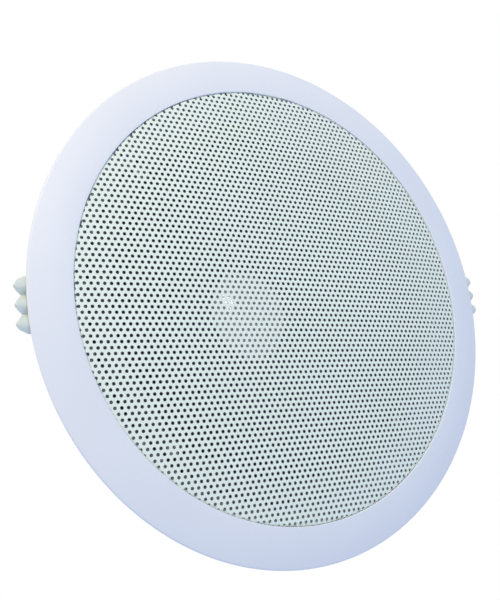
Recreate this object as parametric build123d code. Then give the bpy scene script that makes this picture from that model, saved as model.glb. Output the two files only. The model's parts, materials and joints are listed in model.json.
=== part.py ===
from build123d import *
from math import cos, hypot, radians, sin, sqrt
import os

# Round in-ceiling loudspeaker: a moulded bezel with a domed perforated grille, a full-range cone
# driver screwed into the bezel's well, and two sprung dog-leg clips that grip the ceiling board.
# Millimetres. Z is the axis, up into the ceiling void. Z = 0 is the underside of the ceiling,
# where the flange seats. The grille faces down, and the clips lie on the X axis.

# Bezel, one moulding: flange, barrel, well and clip ears
flange_diameter = 218.0
flange_width = 16.25
flange_drop = 4.3
flange_bulge = 0.6
rim_drop = 1.1
rim_roll = 0.6
bezel_wall = 2.75
barrel_height = 5.0
land_width = 3.0
lip_width = 4.0
hollow_depth = 1.4
rib_count = 24
rib_width = 1.6
well_depth = 9.2
boss_diameter = 8.0
boss_height = 6.0

# Grille, pressed from perforated sheet
grille_sheet = 0.8
grille_recess = 0.6
grille_dome = 3.1
grille_skirt = 4.0
grille_bend = 1.2
grille_play = 0.4
ledge_overlap = 1.0
grille_slope_width = 30.35
hole_width = 8.0
hole_pitch = 16.5
hole_border = 6.0
hole_turn = 2.5

# Driver basket and what seals and fixes it
driver_inset = 8.75
driver_play = 1.5
basket_sheet = 1.0
basket_flange = 15.5
basket_height = 30.5
spider_seat_outer = 80.0
spider_seat_width = 7.0
cup_depth = 6.0
cup_taper = 1.0
cup_setback = 2.0
window_count = 4
window_span = 66.0
window_step = 3.0
window_margin = 4.0
window_corner = 4.0
gasket_width = 9.5
gasket_thickness = 3.0
gasket_margin = 0.5
screw_count = 4
screw_inset = 5.0
screw_diameter = 4.0
screw_head_diameter = 7.2
screw_head_height = 2.4
screw_end_gap = 1.2
hole_play = 0.2
basket_gap = 2.0

# Moving system
cone_depth = 22.5
cone_sheet = 0.8
dust_cap_diameter = 43.0
dust_cap_height = 6.0
dust_cap_crown = 22.0
dust_cap_sheet = 0.6
dust_cap_seat = 0.4
surround_sheet = 0.6
surround_lip = 1.0
surround_roll = 5.2
surround_crown = 3.0
surround_width = 11.0
surround_flange = 5.0
spider_sheet = 0.5
glue_gap = 0.05

# Motor
pole_diameter = 24.2
coil_gap = 0.45
former_wall = 0.4
former_overlap = 1.0
winding_wall = 0.6
winding_height = 9.0
top_plate_diameter = 76.0
top_plate_thickness = 5.0
magnet_diameter = 80.0
magnet_setback = 3.0
magnet_thickness = 15.0
back_plate_diameter = 76.0
back_plate_thickness = 5.0

# Terminals, on a lug left in one basket window
lug_length = 16.0
lug_width = 12.0
board_width = 27.0
board_depth = 14.0
board_thickness = 1.6
board_overlap = 11.0
tab_width = 5.0
tab_length = 19.0
tab_thickness = 0.8
tab_spacing = 19.0
tab_inset = 3.0
lead_diameter = 1.2
lead_loop = 3.0
lead_drop = 8.5
lead_landing_share = 0.5

# Spring clips
hub_radius = 3.0
hub_clearance = 1.0
hub_width = 15.0
pin_diameter = 3.0
pin_play = 0.05
pin_overhang = 0.5
ear_radius = 3.8
ear_thickness = 2.5
ear_play = 0.5
arm_thickness = 2.4
arm_swing_gap = 1.5
elbow_gap = 2.7
notch_depth = 0.4
notch_play = 1.0
tooth_count = 3
tooth_pitch = 7.0
tooth_reach = 4.2
tooth_depth = 3.4
tooth_round = 1.2
spring_wire = 1.0
spring_turns = 6
spring_play = 0.4
spring_window = 8.0
spring_foot = 6.5
spring_tail = 3.0
spring_seat_gap = 0.05
spring_end_play = 0.2

# Radii and levels that follow from the sizes above
flange_r = flange_diameter / 2
opening_r = flange_r - flange_width
barrel_r = opening_r + bezel_wall
rim_r = flange_r - rim_roll
grille_r = opening_r - grille_play
grille_edge_z = grille_recess - flange_drop
ledge_z = grille_edge_z + grille_skirt
ledge_r = grille_r - grille_sheet - ledge_overlap
driver_r = opening_r - driver_inset
well_r = driver_r + driver_play
floor_z = ledge_z + well_depth
floor_back = floor_z + bezel_wall
well_outer_r = well_r + bezel_wall
basket_z = floor_z - basket_sheet
throat_r = driver_r - basket_flange
spider_seat_r = spider_seat_outer / 2
window_r = spider_seat_r + window_step
spider_z = basket_z + basket_height
cup_z = spider_z + cup_depth
plate_z = cup_z + basket_sheet
magnet_z = plate_z + top_plate_thickness
back_plate_z = magnet_z + magnet_thickness
motor_back = back_plate_z + back_plate_thickness
gasket_z = basket_z - gasket_thickness
screw_r = screw_diameter / 2
screw_circle_r = driver_r - screw_inset
screw_angles = [360 / screw_count * (i + 0.5) for i in range(screw_count)]
boss_back = floor_back + boss_height
pole_r = pole_diameter / 2
former_r = pole_r + coil_gap
former_outer_r = former_r + former_wall
winding_r = former_outer_r + winding_wall
gap_z = plate_z + top_plate_thickness / 2
winding_back = gap_z + winding_height / 2
neck_r = former_outer_r + glue_gap
bore_r = winding_r + coil_gap
surround_r = driver_r - gasket_width
cone_r = surround_r - surround_flange - surround_width
cone_z = basket_z + glue_gap
cone_slope = cone_depth / (cone_r - neck_r)
cone_back = cone_sheet * sqrt(1 + cone_slope**2)


def cone_front(radius):
    """Level of the cone's front face at a radius."""
    return cone_z + cone_slope * (cone_r - radius)


def turned(face):
    """Solid turned about the speaker's axis from a face drawn as radius and level."""
    return revolve(Plane.XZ * face, Axis.Z)


def turned_sheet(line, thickness):
    """Turned shell whose front follows a line drawn from the outside inwards."""
    outline = offset(line, thickness, kind=Kind.INTERSECTION, side=Side.RIGHT)
    return turned(make_face(outline.edges()))


def ring(inner, outer, low, high):
    """Plain turned ring between two radii and two levels."""
    return turned(Pos((inner + outer) / 2, (low + high) / 2) * Rectangle(outer - inner, high - low))


def post(radius, low, high):
    """Upright round bar between two levels."""
    return Pos(0, 0, low) * Cylinder(radius, high - low, align=(Align.CENTER, Align.CENTER, Align.MIN))


def block(x_range, y_range, z_range):
    """Box given by its limits along X, Y and Z."""
    sizes = [high - low for low, high in (x_range, y_range, z_range)]
    middle = [(high + low) / 2 for low, high in (x_range, y_range, z_range)]
    return Pos(*middle) * Box(*sizes)


def around(shape, angles, radius=0.0):
    """Copies of a shape set out on a circle."""
    return [Rot(0, 0, angle) * Pos(radius, 0, 0) * shape for angle in angles]


def crosswise(shape):
    """Cylinder laid along Y on the clip's pivot axis."""
    return Pos(pivot_r, 0, pivot_z) * Rot(90, 0, 0) * shape


# Clip pivot: over the top corner of the well's sloping outer wall, square to that wall
slope_run = barrel_r - well_outer_r
slope_rise = floor_back - barrel_height
slope_length = hypot(slope_run, slope_rise)
pivot_r = well_outer_r + slope_rise / slope_length * (hub_radius + hub_clearance)
pivot_z = floor_back + slope_run / slope_length * (hub_radius + hub_clearance)
pin_r = pin_diameter / 2
ear_inner = hub_width / 2 + ear_play
ear_outer = ear_inner + ear_thickness
clip_width = tooth_count * tooth_pitch
foot_z = arm_thickness / 2
elbow_r = barrel_r + land_width + elbow_gap
tip_r = flange_r + tooth_reach
arm_length = hypot(elbow_r - pivot_r, pivot_z - foot_z)
along = ((elbow_r - pivot_r) / arm_length, (foot_z - pivot_z) / arm_length)
outward = (-along[1], along[0])


def arm_point(distance, height):
    """Point a distance down the arm from its pivot and a height out from its middle."""
    return (
        pivot_r + along[0] * distance + outward[0] * height,
        pivot_z + along[1] * distance + outward[1] * height,
    )


def bezel():
    land_r = barrel_r + land_width
    lip_r = rim_r - lip_width
    face_width = flange_r - opening_r
    face_slope = (flange_drop - rim_drop) / face_width
    tilt = sqrt(1 + face_slope**2)
    crown = (
        opening_r + face_width / 2 + flange_bulge * face_slope / tilt,
        -(flange_drop + rim_drop) / 2 - flange_bulge / tilt,
    )
    outline = Polyline(
        (opening_r, -flange_drop),
        crown,
        (flange_r, -rim_drop),
        (rim_r, 0),
        (lip_r, 0),
        (lip_r, -hollow_depth),
        (land_r, -hollow_depth),
        (land_r, 0),
        (barrel_r, 0),
        (barrel_r, barrel_height),
        (well_outer_r, floor_back),
        (throat_r + basket_sheet + basket_gap, floor_back),
        (throat_r + basket_sheet + basket_gap, floor_z),
        (well_r, floor_z),
        (ledge_r, ledge_z),
        (opening_r, ledge_z),
        close=True,
    )
    body = turned(make_face(outline.edges()))
    rib = block((land_r - rib_width, lip_r + rib_width), (-rib_width / 2, rib_width / 2), (-hollow_depth, 0))
    rib_angles = [360 / rib_count * (i + 0.5) for i in range(rib_count)]
    clip_half = clip_width / 2 + notch_play
    clear = [a for a in rib_angles if abs(sin(radians(a))) * land_r > clip_half + rib_width]
    body += around(rib, clear)
    boss = post(boss_diameter / 2, floor_back, boss_back)
    body += around(boss, screw_angles, screw_circle_r)
    pilot = post(screw_r + pin_play, floor_z, boss_back)
    body -= around(pilot, screw_angles, screw_circle_r)
    round_end = Pos(pivot_r, pivot_z) * Circle(ear_radius)
    foot = Line(
        (well_outer_r - bezel_wall, floor_back - bezel_wall / 2),
        ((well_outer_r + barrel_r - bezel_wall) / 2, (floor_back + barrel_height - bezel_wall) / 2),
    )
    ear_outline = make_hull(round_end.edges() + foot.edges())
    ear = Pos(0, ear_outer, 0) * extrude(Plane.XZ * ear_outline, ear_thickness)
    bore = crosswise(Cylinder(pin_r + pin_play, 2 * ear_outer))
    notch_span = (lip_r - notch_play, flange_r + notch_play)
    notch = block(notch_span, (-clip_half, clip_half), (-notch_depth, notch_play))
    for turn in (0, 180):
        body += Rot(0, 0, turn) * ear
        body += Rot(0, 0, turn) * mirror(ear, Plane.XZ)
        body -= Rot(0, 0, turn) * bore
        body -= Rot(0, 0, turn) * notch
    return body


def grille():
    shoulder_r = grille_r - grille_bend
    apex_z = grille_edge_z - grille_dome
    line = Polyline(
        (grille_r, ledge_z),
        (grille_r, grille_edge_z + grille_bend),
        (shoulder_r, grille_edge_z),
        (grille_r - grille_slope_width, apex_z),
        (0, apex_z),
    )
    sheet = turned_sheet(line, grille_sheet)
    hexagon = RegularPolygon(hole_width / 2, 6, major_radius=False)
    hole = Pos(0, 0, apex_z - grille_sheet) * extrude(hexagon, ledge_z - apex_z)
    row_step = hole_pitch * sqrt(3) / 2
    reach = int(grille_r / row_step) + 1
    holes = []
    for row in range(-reach, reach + 1):
        for column in range(-reach, reach + 1):
            x = (column + 0.5 * (row % 2)) * hole_pitch
            y = row * row_step
            if hypot(x, y) + hole_width / 2 < shoulder_r - hole_border:
                holes.append(Rot(0, 0, hole_turn) * Pos(x, y, 0) * hole)
    return sheet - holes


def basket():
    line = Polyline(
        (driver_r, basket_z),
        (throat_r, basket_z),
        (spider_seat_r, spider_z),
        (spider_seat_r - spider_seat_width, spider_z),
        (spider_seat_r - spider_seat_width - cup_taper, cup_z),
        (bore_r + cup_setback, cup_z),
    )
    shell = turned_sheet(line, basket_sheet)
    window_edge = throat_r - window_margin
    reach = 2 * window_edge
    half_span = radians(window_span / 2)
    wedge = Polygon((0, 0), (reach * cos(half_span), -reach * sin(half_span)),
                    (reach * cos(half_span), reach * sin(half_span)), align=None)
    sector = wedge & (Circle(window_edge) - Circle(window_r))
    window = extrude(fillet(sector.vertices(), window_corner), cup_z)
    shell -= around(window, [360 / window_count * i for i in range(window_count)])
    lug_start = spider_seat_r - basket_sheet
    lug_half = lug_width / 2
    shell += block((-lug_half, lug_half), (lug_start, lug_end), (spider_z, spider_z + basket_sheet))
    shell -= around(post(screw_r + hole_play, basket_z, floor_z), screw_angles, screw_circle_r)
    return shell


def driver_gasket():
    body = ring(surround_r + gasket_margin, driver_r - gasket_margin, gasket_z, basket_z)
    gap_half = screw_head_diameter / 2 + gasket_margin
    gap = block((surround_r, driver_r), (-gap_half, gap_half), (gasket_z, basket_z))
    return (body - around(gap, screw_angles)).solids()


def driver_screws():
    head = post(screw_head_diameter / 2, basket_z - screw_head_height, basket_z)
    shank = post(screw_r, basket_z, boss_back - screw_end_gap)
    return around(head + shank, screw_angles, screw_circle_r)


def cone():
    outline = Polyline(
        (cone_r, cone_z),
        (neck_r, cone_front(neck_r)),
        (neck_r, cone_front(neck_r) + cone_back),
        (cone_r, cone_z + cone_back),
        close=True,
    )
    return turned(make_face(outline.edges()))


def dust_cap():
    edge_r = dust_cap_diameter / 2
    edge_z = cone_front(edge_r) - dust_cap_seat
    crown_z = edge_z - dust_cap_height
    line = Polyline((edge_r, edge_z), (dust_cap_crown / 2, crown_z), (0, crown_z))
    return turned_sheet(line, dust_cap_sheet)


def surround():
    front = basket_z - surround_sheet
    roll_end = surround_r - surround_flange
    middle = (cone_r + roll_end) / 2
    outline = Polyline(
        (surround_r, basket_z),
        (surround_r, front),
        (roll_end, front),
        (middle + surround_crown, basket_z - surround_roll),
        (middle - surround_crown, basket_z - surround_roll),
        (cone_r - surround_lip, front),
        (cone_r - surround_lip, basket_z),
        close=True,
    )
    return turned(make_face(outline.edges()))


def spider():
    return ring(neck_r, spider_seat_r - basket_sheet, spider_z - spider_sheet, spider_z)


def voice_coil_former():
    return ring(former_r, former_outer_r, cone_front(neck_r) - former_overlap, winding_back)


def voice_coil_winding():
    return ring(former_outer_r, winding_r, winding_back - winding_height, winding_back)


def top_plate():
    return ring(bore_r, top_plate_diameter / 2, plate_z, magnet_z)


def magnet():
    return ring(bore_r + magnet_setback, magnet_diameter / 2, magnet_z, back_plate_z)


def back_plate():
    return post(back_plate_diameter / 2, back_plate_z, motor_back) + post(pole_r, plate_z, back_plate_z)


# Terminal board on the lug, and the two tabs riveted to the board
board_z = spider_z + basket_sheet
tab_z = board_z + board_thickness
lug_end = window_r + lug_length
board_start = lug_end - board_overlap
tab_x = tab_spacing / 2
tab_start = board_start + tab_inset


def terminal_board():
    half = board_width / 2
    return block((-half, half), (board_start, board_start + board_depth), (board_z, tab_z))


def terminal_tab(side):
    x = side * tab_x
    half = tab_width / 2
    return block((x - half, x + half), (tab_start, tab_start + tab_length), (tab_z, tab_z + tab_thickness))


def tinsel_lead(side):
    r = lead_diameter / 2
    on_tab = tab_z + tab_thickness + r + glue_gap
    edge = board_width / 2 + lead_loop
    landing_y = cone_r * lead_landing_share
    lead_half = r * sqrt(1 + cone_slope**2)
    behind_cone = cone_front(hypot(tab_x, landing_y)) + cone_back + lead_half
    tab_y = tab_start + tab_length - board_depth / 2
    route = Polyline(
        (side * tab_x, tab_y, on_tab),
        (side * edge, tab_y, on_tab),
        (side * edge, tab_y - lead_loop, on_tab - lead_drop),
        (side * tab_x, landing_y, behind_cone + glue_gap),
    )
    return sweep(Plane(route @ 0, z_dir=route % 0) * Circle(r), path=route, transition=Transition.RIGHT)


def clip_arm():
    line = Polyline((pivot_r, pivot_z), (elbow_r, foot_z), (tip_r - arm_thickness / 2, foot_z))
    outline = make_face(offset(line, arm_thickness / 2).edges())
    body = extrude(Plane.XZ * outline, clip_width / 2, both=True)
    valley_r = tip_r - tooth_depth
    plan = [(0, -clip_width / 2), (valley_r, -clip_width / 2)]
    for i in range(tooth_count):
        start = -clip_width / 2 + i * tooth_pitch
        plan.append((tip_r, start + tooth_pitch / 2))
        plan.append((valley_r, start + tooth_pitch))
    plan.append((0, clip_width / 2))
    teeth = make_face(Polyline(*plan, close=True).edges())
    tips = [v for v in teeth.vertices() if v.X > tip_r - tooth_depth / 2]
    body &= extrude(fillet(tips, tooth_round), pivot_z + hub_radius)
    swing = crosswise(Cylinder(ear_radius + arm_swing_gap, clip_width))
    swing &= block((0, tip_r), (hub_width / 2, clip_width), (-pivot_z, 3 * pivot_z))
    body -= swing
    body -= mirror(swing, Plane.XZ)
    body += crosswise(Cylinder(hub_radius, hub_width))
    coil_half = spring_turns * spring_wire / 2 + spring_end_play
    body -= crosswise(Cylinder(spring_window, 2 * coil_half))
    return body - crosswise(Cylinder(pin_r + pin_play, clip_width))


def clip_pin():
    return crosswise(Cylinder(pin_r, 2 * (ear_outer + pin_overhang)))


def tangent_point(end, radius, side):
    """Where a line from an outside point touches the spring's coil."""
    dx = end[0] - pivot_r
    dz = end[1] - pivot_z
    span = hypot(dx, dz)
    lean = radius / span
    rise = side * sqrt(1 - lean**2)
    return (
        pivot_r + radius * (lean * dx - rise * dz) / span,
        pivot_z + radius * (lean * dz + rise * dx) / span,
    )


def spring_leg(start, end, y):
    """Straight wire end of the spring."""
    foot = Vector(start[0], y, start[1])
    tip = Vector(end[0], y, end[1])
    radius = spring_wire / 2 - pin_play
    wire = Cylinder(radius, (tip - foot).length, align=(Align.CENTER, Align.CENTER, Align.MIN))
    return Plane(foot, z_dir=tip - foot) * wire


def clip_spring():
    inner = pin_r + spring_play
    middle = inner + spring_wire / 2
    outer = inner + spring_wire
    half = spring_turns * spring_wire / 2
    coil = crosswise(Cylinder(outer, 2 * half) - Cylinder(inner, 2 * half))
    lift = spring_wire / 2 + spring_seat_gap
    floor_end = (pivot_r - spring_foot, floor_back + lift)
    arm_end = arm_point(spring_window + spring_tail, arm_thickness / 2 + lift)
    leg_y = half - spring_wire / 2
    coil += spring_leg(tangent_point(floor_end, middle, 1), floor_end, -leg_y)
    coil += spring_leg(tangent_point(arm_end, middle, 1), arm_end, leg_y)
    return coil


def on_left(shape):
    """The same piece on the opposite clip."""
    return Rot(0, 0, 180) * shape


pieces = {
    "bezel": bezel(),
    "grille": grille(),
    "driver_basket": basket(),
    "driver_gasket": driver_gasket(),
    "driver_screws": driver_screws(),
    "cone": cone(),
    "dust_cap": dust_cap(),
    "surround": surround(),
    "spider": spider(),
    "voice_coil_former": voice_coil_former(),
    "voice_coil_winding": voice_coil_winding(),
    "top_plate": top_plate(),
    "magnet": magnet(),
    "back_plate": back_plate(),
    "terminal_board": terminal_board(),
    "terminal_tab_left": terminal_tab(-1),
    "terminal_tab_right": terminal_tab(1),
    "tinsel_lead_left": tinsel_lead(-1),
    "tinsel_lead_right": tinsel_lead(1),
    "clip_arm_right": clip_arm(),
    "clip_pin_right": clip_pin(),
    "clip_spring_right": clip_spring(),
    "clip_arm_left": on_left(clip_arm()),
    "clip_pin_left": on_left(clip_pin()),
    "clip_spring_left": on_left(clip_spring()),
}

os.makedirs("parts", exist_ok=True)
for name, piece in pieces.items():
    shape = Compound(children=piece) if isinstance(piece, list) else piece
    export_step(shape, f"parts/{name}.step")
    print(name, round(shape.volume, 1))
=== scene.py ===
# %% [markdown]
# # Round ceiling loudspeaker
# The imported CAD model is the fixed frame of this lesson. It holds every piece at its real size, and the
# looks are built around it: a punched and pressed grille, a smooth moulded bezel, a paper cone driver and
# two sprung clips. The speaker's axis is Z, the grille faces down, and lengths below are millimetres until
# a mesh is made.

# %% Load the frame
import json
import math

import bmesh
import bpy
import numpy as np
from mathutils import Matrix, Vector


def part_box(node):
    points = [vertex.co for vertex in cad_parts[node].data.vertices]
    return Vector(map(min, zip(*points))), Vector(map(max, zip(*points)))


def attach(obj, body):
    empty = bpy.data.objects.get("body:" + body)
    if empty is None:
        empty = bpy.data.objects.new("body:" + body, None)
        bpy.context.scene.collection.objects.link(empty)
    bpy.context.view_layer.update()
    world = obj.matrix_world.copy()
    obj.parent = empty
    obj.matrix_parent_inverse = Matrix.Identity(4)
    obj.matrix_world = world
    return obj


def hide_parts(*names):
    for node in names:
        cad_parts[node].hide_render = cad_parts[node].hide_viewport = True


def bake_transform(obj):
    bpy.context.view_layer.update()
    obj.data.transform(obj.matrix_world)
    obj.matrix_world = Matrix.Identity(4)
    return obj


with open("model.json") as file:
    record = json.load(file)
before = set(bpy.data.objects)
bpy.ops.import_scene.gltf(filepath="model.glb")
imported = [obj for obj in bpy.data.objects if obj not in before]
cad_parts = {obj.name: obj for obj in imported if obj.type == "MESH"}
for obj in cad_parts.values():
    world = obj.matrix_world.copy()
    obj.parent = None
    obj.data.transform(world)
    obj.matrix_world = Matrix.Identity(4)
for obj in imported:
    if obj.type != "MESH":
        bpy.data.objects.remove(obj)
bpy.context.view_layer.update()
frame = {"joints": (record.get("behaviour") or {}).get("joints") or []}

MM = 0.001
WELD = 1e-6  # points this near to each other, in metres, are one point

# %% [markdown]
# ## Sizes read from the frame
# A dressed piece sits where its CAD node sits, so levels and radii are read from the nodes' boxes. Only what
# a box can't tell, such as a wall's thickness or a bend, is written here.


# %% Radii and levels
def reach(node):
    """Largest radius of a round node, from its box."""
    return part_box(node)[1].y / MM


def levels(node):
    """Lowest and highest level of a node."""
    low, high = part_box(node)
    return low.z / MM, high.z / MM


flange_r = reach("bezel")
grille_r = reach("grille")
driver_r = reach("driver_basket")
cone_r = reach("cone")
surround_r = reach("surround")
cap_r = reach("dust_cap")
grille_apex, ledge_z = levels("grille")
basket_z, plate_z = levels("driver_basket")
spider_z = levels("spider")[1]
joints = {joint["name"]: joint for joint in frame["joints"]}
pivot_r, _, pivot_z = (value / MM for value in joints["clip_right_swing"]["pos_m"])
print(f"flange radius {flange_r:.2f}, grille radius {grille_r:.2f}, clip pivot {pivot_r:.2f}, {pivot_z:.2f}")

# %% [markdown]
# ## Helpers for turned and carved pieces
# Most of a loudspeaker is round. A lathe helper turns a closed outline about the axis, and small helpers round
# an outline's corners, give a line the thickness of sheet, and weld or cut closed meshes with booleans.


# %% Outline helpers
def rounded(corners, steps=5):
    """Closed outline from (x, y, rounding) corners, with an arc at each corner that has a rounding."""
    points = []
    for before, corner, after in zip(corners[-1:] + corners[:-1], corners, corners[1:] + corners[:1]):
        x, y, radius = corner
        if not radius:
            points.append((x, y))
            continue
        here = Vector((x, y))
        to_before = (Vector(before[:2]) - here).normalized()
        to_after = (Vector(after[:2]) - here).normalized()
        half = to_before.angle(to_after) / 2
        centre = here + (to_before + to_after).normalized() * radius / math.sin(half)
        first = here + to_before * radius / math.tan(half) - centre
        last = here + to_after * radius / math.tan(half) - centre
        start = math.atan2(first.y, first.x)
        turn = (math.atan2(last.y, last.x) - start + math.pi) % math.tau - math.pi
        for i in range(steps + 1):
            angle = start + turn * i / steps
            points.append((centre.x + radius * math.cos(angle), centre.y + radius * math.sin(angle)))
    return points


def bowed(first, last, rise, steps):
    """Points of a shallow bow between two points, which stands off their chord to the left by a rise."""
    first, last = Vector(first), Vector(last)
    chord = last - first
    side = Vector((-chord.y, chord.x)).normalized()
    return [first + chord * t + side * rise * 4 * t * (1 - t) for t in (i / steps for i in range(steps + 1))]


def sheet(line, thickness, least_stretch=0.3):
    """Closed outline of a sheet whose front follows a line, with its thickness to the line's right."""
    points = [Vector(p[:2]) for p in line]
    back = []
    for i, here in enumerate(points):
        ahead = points[i + 1] - here if i + 1 < len(points) else here - points[i - 1]
        behind = here - points[i - 1] if i else ahead
        mean = (ahead.normalized() + behind.normalized()).normalized()
        right = Vector((mean.y, -mean.x))
        stretch = max(mean.dot(ahead.normalized()), least_stretch)
        back.append(here + right * thickness / stretch)
    return [tuple(p) for p in points + back[::-1]]


def circle(x, y, radius, steps=48):
    """Points of a circle."""
    return [(x + radius * math.cos(math.tau * i / steps), y + radius * math.sin(math.tau * i / steps))
            for i in range(steps)]


def rectangle(x, y, *rounding):
    """Corners of a rectangle from its (low, high) pairs, each with its rounding where roundings are given."""
    corners = [(x[0], y[0]), (x[1], y[0]), (x[1], y[1]), (x[0], y[1])]
    return [(*corner, radius) for corner, radius in zip(corners, rounding)] if rounding else corners


def both_ways(half):
    """Pair that reaches as far to one side as to the other."""
    return -half, half


print("points of a rounded square:", len(rounded(rectangle((0, 1), (0, 1), 0.2, 0.2, 0.2, 0.2))))


# %% Mesh helpers
def mesh_object(name, points, faces, edges=()):
    """Object at the origin whose mesh takes points in millimetres."""
    mesh = bpy.data.meshes.new(name)
    mesh.from_pydata((np.asarray(points, float) * MM).tolist(), list(edges), faces)
    obj = bpy.data.objects.new(name, mesh)
    bpy.context.scene.collection.objects.link(obj)
    return obj


def close_up(obj):
    """Merges doubled points, drops collapsed faces and turns all faces outwards."""
    bm = bmesh.new()
    bm.from_mesh(obj.data)
    bmesh.ops.remove_doubles(bm, verts=bm.verts, dist=WELD)
    bmesh.ops.dissolve_degenerate(bm, edges=bm.edges, dist=WELD / 10)
    bmesh.ops.recalc_face_normals(bm, faces=bm.faces)
    bm.to_mesh(obj.data)
    bm.free()
    return obj


def lathe(name, outline, steps=160, first=0.0, turn=360.0):
    """Closed outline of (radius, level) points turned about the speaker's axis."""
    whole = turn >= 360
    angles = np.radians(first + turn * np.arange(steps + (0 if whole else 1)) / steps)
    ring = np.array(outline, float)
    points = [np.column_stack([ring[:, 0] * c, ring[:, 0] * s, ring[:, 1]])
              for c, s in zip(np.cos(angles), np.sin(angles))]
    count = len(ring)
    faces = []
    for i in range(steps):
        here = i * count
        there = (i + 1) % len(angles) * count
        for j in range(count):
            k = (j + 1) % count
            faces.append((here + j, here + k, there + k, there + j))
    if not whole:
        faces += [tuple(range(count)), tuple(range(steps * count, (steps + 1) * count))]
    return close_up(mesh_object(name, np.concatenate(points), faces))


def prism(name, outline, low, high, axis="Z"):
    """Closed outline pushed from one level to another, along Z over (x, y) or along Y over (x, z)."""
    count = len(outline)
    points = [(x, y, level) if axis == "Z" else (x, level, y) for level in (low, high) for x, y in outline]
    faces = [tuple(range(count)), tuple(range(count, 2 * count))]
    faces += [(i, (i + 1) % count, count + (i + 1) % count, count + i) for i in range(count)]
    return close_up(mesh_object(name, points, faces))


def baked(obj):
    """Object's mesh with its modifiers applied, and the modifiers gone."""
    bpy.context.view_layer.update()
    evaluated = obj.evaluated_get(bpy.context.evaluated_depsgraph_get())
    mesh = bpy.data.meshes.new_from_object(evaluated)
    obj.modifiers.clear()
    obj.data = mesh
    mesh.name = obj.name
    return obj


def carve(obj, operation, *tools):
    """Welds, cuts or trims a closed mesh with others, which are used up."""
    for tool in tools:
        boolean = obj.modifiers.new("carve", "BOOLEAN")
        boolean.operation = operation
        boolean.solver = "MANIFOLD"
        boolean.object = tool
        baked(obj)
        bpy.data.objects.remove(tool)
    return obj


def eased(obj, width, angle=40, segments=2):
    """Bevels a carved mesh's sharp edges a little, as a mould or a press leaves them."""
    bevel = obj.modifiers.new("eased", "BEVEL")
    bevel.width = width * MM
    bevel.segments = segments
    bevel.limit_method = "ANGLE"
    bevel.angle_limit = math.radians(angle)
    return baked(obj)


def dress(obj, body, slot, *nodes, crease=32):
    """Finishes a piece: smooth shading with creases, its material, its body and the CAD nodes it stands for."""
    obj.data.materials.clear()
    obj.data.materials.append(finishes[slot])
    obj.data.shade_smooth()
    if crease:
        obj.data.set_sharp_from_angle(angle=math.radians(crease))
    if body:
        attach(obj, body)
    if nodes:
        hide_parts(*nodes)
    print(f"{obj.name}: {sum(len(p.vertices) - 2 for p in obj.data.polygons)} triangles")
    return obj


finishes = {}  # the materials, by the names of their slots
print("mesh helpers ready")

# %% [markdown]
# ## Camera
# The photograph looks up at the face from its lower left. Counting the rows of holes in it gave the lens and
# the place of the camera: the sight line meets the flange's plane a little left of the axis.

# %% Camera
camera_place = Vector((-178.7, 62.8, -261.5)) * MM
camera_aim = Vector((-17.6, 0.3, 0.0)) * MM
camera_roll = math.radians(8.1)
camera_lens = 45.8
picture_up = Vector((0, -1, 0))

camera = bpy.data.objects.new("camera", bpy.data.cameras.new("camera"))
bpy.context.scene.collection.objects.link(camera)
bpy.context.scene.camera = camera
camera.data.lens = camera_lens
camera.data.sensor_width = 36
sight = (camera_aim - camera_place).normalized()
right = sight.cross(picture_up).normalized()
level_up = right.cross(sight)
up = level_up * math.cos(camera_roll) + right * math.sin(camera_roll)
across = sight.cross(up)
turn = Matrix((across, up, -sight)).transposed()
camera.matrix_world = Matrix.Translation(camera_place) @ turn.to_4x4()
camera.data.clip_start = 0.01
print("camera", [round(v / MM, 1) for v in camera.location])

# %% [markdown]
# ## Shader groups
# Moulded plastic, powder coat, paper and paint all show a fine grain and a slow drift of tone, at different
# scales. One group makes both. A second group draws the fine circles that a lathe or a spun dome leaves.


# %% Node helper and shared groups
def add(tree, kind, inputs=None, **settings):
    """Node with its settings and inputs. An input may be a value or another node's output."""
    node = tree.nodes.new(kind)
    for name, value in settings.items():
        setattr(node, name, value)
    for key, value in (inputs or {}).items():
        if isinstance(value, bpy.types.NodeSocket):
            tree.links.new(value, node.inputs[key])
        else:
            node.inputs[key].default_value = value
    return node


def maths(tree, operation, a, b=0.0):
    """Output of a Math node."""
    return add(tree, "ShaderNodeMath", {0: a, 1: b}, operation=operation).outputs["Value"]


def axis_distance(tree, place):
    """Distance of a place from the speaker's axis."""
    flat = add(tree, "ShaderNodeVectorMath", {0: place, 1: (1, 1, 0)}, operation="MULTIPLY")
    return add(tree, "ShaderNodeVectorMath", {0: flat.outputs["Vector"]}, operation="LENGTH").outputs["Value"]


def group(name, kind, ins, outs):
    """Empty node group with named sockets, and its two end nodes."""
    tree = bpy.data.node_groups.new(name, kind)
    for socket, socket_type, value in ins:
        made = tree.interface.new_socket(socket, in_out="INPUT", socket_type=socket_type)
        if value is not None:
            made.default_value = value
    for socket, socket_type in outs:
        tree.interface.new_socket(socket, in_out="OUTPUT", socket_type=socket_type)
    return tree, tree.nodes.new("NodeGroupInput"), tree.nodes.new("NodeGroupOutput")


pattern_outs = [("Tone", "NodeSocketFloat"), ("Height", "NodeSocketFloat")]


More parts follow.
